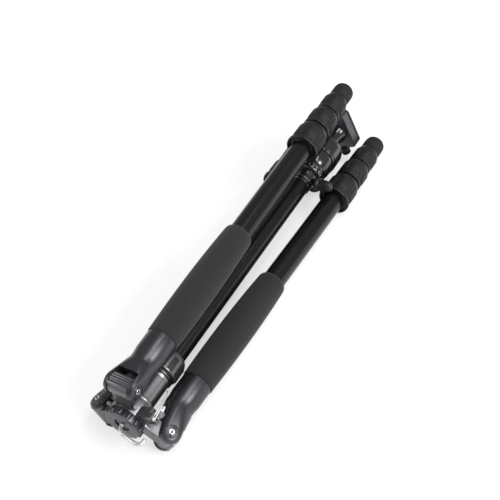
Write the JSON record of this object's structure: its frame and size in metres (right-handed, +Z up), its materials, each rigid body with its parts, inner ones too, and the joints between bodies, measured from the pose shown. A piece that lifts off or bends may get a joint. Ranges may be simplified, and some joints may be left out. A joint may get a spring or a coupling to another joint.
{
  "type": "travel tripod",
  "caption": "Travel tripod folded for carrying, with twist-lock legs swung up round the centre column and a ball head with a camera clamp.",
  "frame": {"origin": "centre of the bounding box in X and Y, on the surface that the folded tripod lies on", "axes": "+X along the column from the hub and hook to the feet and head, +Z up, with the first leg on top"},
  "size_m": [0.5052, 0.1138, 0.1037],
  "materials": {
    "hub_grey": "satin",
    "casting_dark": "satin",
    "tube_black": "gloss",
    "neck_light": "satin",
    "steel": "polished",
    "rubber": "matte",
    "foam": "matte",
    "lock_black": "satin",
    "knob_black": "gloss",
    "head_black": "gloss",
    "clamp_grey": "satin",
    "level_glass": "gloss"
  },
  "bodies": {
    "hub": {"spider": "hub_grey", "neck": "neck_light", "neck_rings": "steel", "bail_pin": "steel"},
    "collar": {"column_collar": "lock_black"},
    "column": {"column": "tube_black", "base_ring": "lock_black", "bottom_cap": "casting_dark", "hook_spring": "steel", "pan_base": "head_black"},
    "hook": {"hook": "steel"},
    "bail": {"bail": "steel"},
    "head": {"head_housing": "head_black"},
    "friction": {"friction_collar": "clamp_grey"},
    "main_knob": {"main_knob": "knob_black"},
    "pan_knob": {"pan_knob": "knob_black"},
    "ball": {"ball": "head_black", "clamp_body": "clamp_grey", "bubble_level": "level_glass"},
    "jaw": {"clamp_jaw": "clamp_grey"},
    "clamp_knob": {"clamp_knob": "knob_black"},
    "plate": {"plate": "casting_dark", "plate_screw": "steel", "plate_pad": "rubber"},
    "leg_a": {"leg_a_casting": "casting_dark", "leg_a_bolt": "steel", "leg_a_grip": "foam", "leg_a_tube_1": "tube_black"},
    "leg_a_tab": {"leg_a_tab": "steel"},
    "leg_a_lock_1": {"leg_a_lock_1": "lock_black"},
    "leg_a_section_2": {"leg_a_tube_2": "tube_black"},
    "leg_a_lock_2": {"leg_a_lock_2": "lock_black"},
    "leg_a_section_3": {"leg_a_tube_3": "tube_black"},
    "leg_a_lock_3": {"leg_a_lock_3": "lock_black"},
    "leg_a_section_4": {"leg_a_tube_4": "tube_black", "leg_a_foot": "rubber"},
    "leg_b": {"leg_b_casting": "casting_dark", "leg_b_bolt": "steel", "leg_b_grip": "foam", "leg_b_tube_1": "tube_black"},
    "leg_b_tab": {"leg_b_tab": "steel"},
    "leg_b_lock_1": {"leg_b_lock_1": "lock_black"},
    "leg_b_section_2": {"leg_b_tube_2": "tube_black"},
    "leg_b_lock_2": {"leg_b_lock_2": "lock_black"},
    "leg_b_section_3": {"leg_b_tube_3": "tube_black"},
    "leg_b_lock_3": {"leg_b_lock_3": "lock_black"},
    "leg_b_section_4": {"leg_b_tube_4": "tube_black", "leg_b_foot": "rubber"},
    "leg_c": {"leg_c_casting": "casting_dark", "leg_c_bolt": "steel", "leg_c_grip": "foam", "leg_c_tube_1": "tube_black"},
    "leg_c_tab": {"leg_c_tab": "steel"},
    "leg_c_lock_1": {"leg_c_lock_1": "lock_black"},
    "leg_c_section_2": {"leg_c_tube_2": "tube_black"},
    "leg_c_lock_2": {"leg_c_lock_2": "lock_black"},
    "leg_c_section_3": {"leg_c_tube_3": "tube_black"},
    "leg_c_lock_3": {"leg_c_lock_3": "lock_black"},
    "leg_c_section_4": {"leg_c_tube_4": "tube_black", "leg_c_foot": "rubber"}
  },
  "joints": [
    {"name": "leg_a_fold", "type": "hinge", "parent": "hub", "child": "leg_a", "pos_m": [-0.22265, 0, 0.08144], "axis": [0, -1, 0], "range_deg": [0, 178]},
    {"name": "leg_a_angle_tab", "type": "slide", "parent": "leg_a", "child": "leg_a_tab", "axis": [0.9996, 0, 0.0297], "range_m": [0, 0.005], "stiffness_N_per_m": 300, "springref_m": -0.002},
    {"name": "leg_a_lock_1_turn", "type": "hinge", "parent": "leg_a", "child": "leg_a_lock_1", "pos_m": [-0.22243, 0, 0.07394], "axis": [0.9996, 0, 0.0297], "range_deg": [0, 90]},
    {"name": "leg_a_section_2_slide", "type": "slide", "parent": "leg_a", "child": "leg_a_section_2", "axis": [0.9996, 0, 0.0297], "range_m": [0, 0.3]},
    {"name": "leg_a_lock_2_turn", "type": "hinge", "parent": "leg_a_section_2", "child": "leg_a_lock_2", "pos_m": [-0.22243, 0, 0.07394], "axis": [0.9996, 0, 0.0297], "range_deg": [0, 90]},
    {"name": "leg_a_section_3_slide", "type": "slide", "parent": "leg_a_section_2", "child": "leg_a_section_3", "axis": [0.9996, 0, 0.0297], "range_m": [0, 0.3]},
    {"name": "leg_a_lock_3_turn", "type": "hinge", "parent": "leg_a_section_3", "child": "leg_a_lock_3", "pos_m": [-0.22243, 0, 0.07394], "axis": [0.9996, 0, 0.0297], "range_deg": [0, 90]},
    {"name": "leg_a_section_4_slide", "type": "slide", "parent": "leg_a_section_3", "child": "leg_a_section_4", "axis": [0.9996, 0, 0.0297], "range_m": [0, 0.3]},
    {"name": "leg_b_fold", "type": "hinge", "parent": "hub", "child": "leg_b", "pos_m": [-0.22265, -0.03507, 0.02069], "axis": [0, 0.5, -0.866], "range_deg": [0, 178]},
    {"name": "leg_b_angle_tab", "type": "slide", "parent": "leg_b", "child": "leg_b_tab", "axis": [0.9996, -0.0257, -0.0148], "range_m": [0, 0.005], "stiffness_N_per_m": 300, "springref_m": -0.002},
    {"name": "leg_b_lock_1_turn", "type": "hinge", "parent": "leg_b", "child": "leg_b_lock_1", "pos_m": [-0.22243, -0.02858, 0.02444], "axis": [0.9996, -0.0257, -0.0148], "range_deg": [0, 90]},
    {"name": "leg_b_section_2_slide", "type": "slide", "parent": "leg_b", "child": "leg_b_section_2", "axis": [0.9996, -0.0257, -0.0148], "range_m": [0, 0.3]},
    {"name": "leg_b_lock_2_turn", "type": "hinge", "parent": "leg_b_section_2", "child": "leg_b_lock_2", "pos_m": [-0.22243, -0.02858, 0.02444], "axis": [0.9996, -0.0257, -0.0148], "range_deg": [0, 90]},
    {"name": "leg_b_section_3_slide", "type": "slide", "parent": "leg_b_section_2", "child": "leg_b_section_3", "axis": [0.9996, -0.0257, -0.0148], "range_m": [0, 0.3]},
    {"name": "leg_b_lock_3_turn", "type": "hinge", "parent": "leg_b_section_3", "child": "leg_b_lock_3", "pos_m": [-0.22243, -0.02858, 0.02444], "axis": [0.9996, -0.0257, -0.0148], "range_deg": [0, 90]},
    {"name": "leg_b_section_4_slide", "type": "slide", "parent": "leg_b_section_3", "child": "leg_b_section_4", "axis": [0.9996, -0.0257, -0.0148], "range_m": [0, 0.3]},
    {"name": "leg_c_fold", "type": "hinge", "parent": "hub", "child": "leg_c", "pos_m": [-0.22265, 0.03507, 0.02069], "axis": [0, 0.5, 0.866], "range_deg": [0, 178]},
    {"name": "leg_c_angle_tab", "type": "slide", "parent": "leg_c", "child": "leg_c_tab", "axis": [0.9996, 0.0257, -0.0148], "range_m": [0, 0.005], "stiffness_N_per_m": 300, "springref_m": -0.002},
    {"name": "leg_c_lock_1_turn", "type": "hinge", "parent": "leg_c", "child": "leg_c_lock_1", "pos_m": [-0.22243, 0.02858, 0.02444], "axis": [0.9996, 0.0257, -0.0148], "range_deg": [0, 90]},
    {"name": "leg_c_section_2_slide", "type": "slide", "parent": "leg_c", "child": "leg_c_section_2", "axis": [0.9996, 0.0257, -0.0148], "range_m": [0, 0.3]},
    {"name": "leg_c_lock_2_turn", "type": "hinge", "parent": "leg_c_section_2", "child": "leg_c_lock_2", "pos_m": [-0.22243, 0.02858, 0.02444], "axis": [0.9996, 0.0257, -0.0148], "range_deg": [0, 90]},
    {"name": "leg_c_section_3_slide", "type": "slide", "parent": "leg_c_section_2", "child": "leg_c_section_3", "axis": [0.9996, 0.0257, -0.0148], "range_m": [0, 0.3]},
    {"name": "leg_c_lock_3_turn", "type": "hinge", "parent": "leg_c_section_3", "child": "leg_c_lock_3", "pos_m": [-0.22243, 0.02858, 0.02444], "axis": [0.9996, 0.0257, -0.0148], "range_deg": [0, 90]},
    {"name": "leg_c_section_4_slide", "type": "slide", "parent": "leg_c_section_3", "child": "leg_c_section_4", "axis": [0.9996, 0.0257, -0.0148], "range_m": [0, 0.3]},
    {"name": "column_slide", "type": "slide", "parent": "hub", "child": "column", "axis": [1, 0, 0], "range_m": [-0.024, 0]},
    {"name": "collar_turn", "type": "hinge", "parent": "hub", "child": "collar", "pos_m": [-0.17265, 0, 0.04094], "axis": [1, 0, 0], "range_deg": [0, 90]},
    {"name": "hook_pull", "type": "slide", "parent": "column", "child": "hook", "axis": [-1, 0, 0], "range_m": [0, 0.006], "stiffness_N_per_m": 300, "springref_m": -0.003},
    {"name": "bail_swing", "type": "hinge", "parent": "hub", "child": "bail", "pos_m": [-0.23073, -0.03377, 0.06044], "axis": [0, -0.5, -0.866], "range_deg": [0, 165]},
    {"name": "head_pan", "type": "hinge", "parent": "column", "child": "head", "pos_m": [0.14835, 0, 0.04094], "axis": [1, 0, 0], "range_deg": [-7, 17]},
    {"name": "friction_turn", "type": "hinge", "parent": "head", "child": "friction", "pos_m": [0.18135, 0, 0.04094], "axis": [1, 0, 0], "range_deg": [0, 60]},
    {"name": "main_knob_turn", "type": "hinge", "parent": "head", "child": "main_knob", "pos_m": [0.1585, 0, 0.04094], "axis": [0, 0, -1], "range_deg": [0, 180]},
    {"name": "pan_knob_turn", "type": "hinge", "parent": "column", "child": "pan_knob", "pos_m": [0.12735, 0, 0.04094], "axis": [0, -0.9962, 0.0872], "range_deg": [0, 180]},
    {"name": "ball_tilt", "type": "hinge", "parent": "head", "child": "ball", "pos_m": [0.19135, 0, 0.04094], "axis": [0, -0.5, -0.866], "range_deg": [-3, 6]},
    {"name": "clamp_knob_turn", "type": "hinge", "parent": "ball", "child": "clamp_knob", "pos_m": [0.22747, 0, 0.04094], "axis": [0, -0.3746, -0.9272], "range_deg": [0, 360]},
    {"name": "jaw_slide", "type": "slide", "parent": "ball", "child": "jaw", "axis": [0, 0.9272, -0.3746], "range_m": [0, 0.0013]},
    {"name": "plate_slide", "type": "slide", "parent": "ball", "child": "plate", "axis": [0, 0.3746, 0.9272], "range_m": [0, 0.005]}
  ],
  "couplings": [
    {"joint": "jaw_slide", "follows": "clamp_knob_turn", "m_per_rad": 0.00019894}
  ]
}
